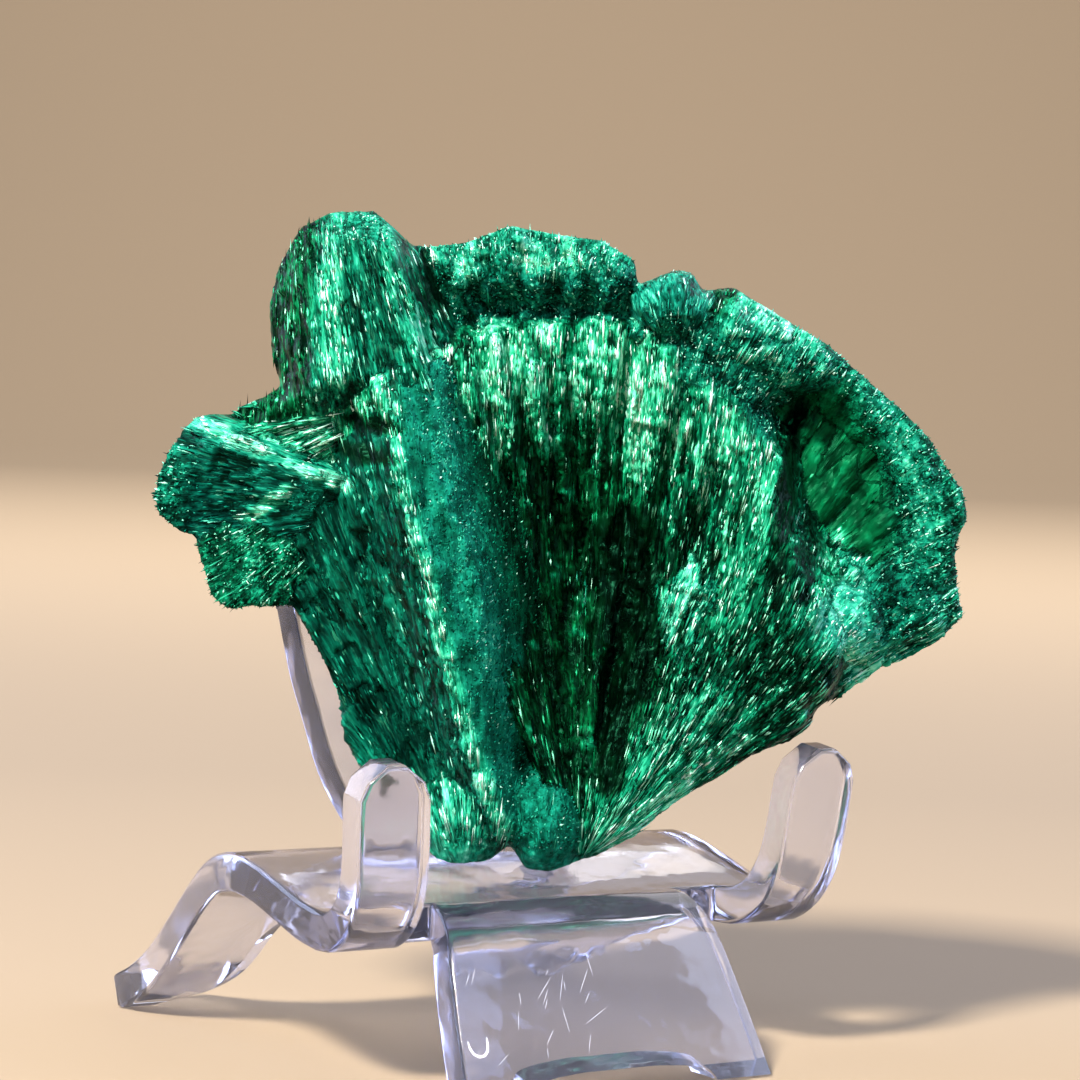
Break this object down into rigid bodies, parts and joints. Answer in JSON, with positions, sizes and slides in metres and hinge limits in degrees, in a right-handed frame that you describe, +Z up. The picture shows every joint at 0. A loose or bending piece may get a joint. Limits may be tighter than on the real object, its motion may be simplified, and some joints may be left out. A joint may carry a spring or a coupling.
{
  "type": "malachite specimen on a clear stand",
  "caption": "Radiating silky malachite specimen of fanned crystal sheaves, resting upright in a clear moulded easel stand.",
  "frame": {"origin": "on the floor under the middle of the bounding box of stone and stand", "axes": "-Y is the way the stand faces, X runs along its width, +Z is up"},
  "size_m": [0.055, 0.043, 0.0627],
  "materials": {
    "silky_malachite": "deep green silky fibres with velvet patches",
    "clear_plastic": "clear polished moulding"
  },
  "bodies": {
    "root": {"malachite": "silky_malachite", "display_stand": "clear_plastic"}
  },
  "joints": []
}
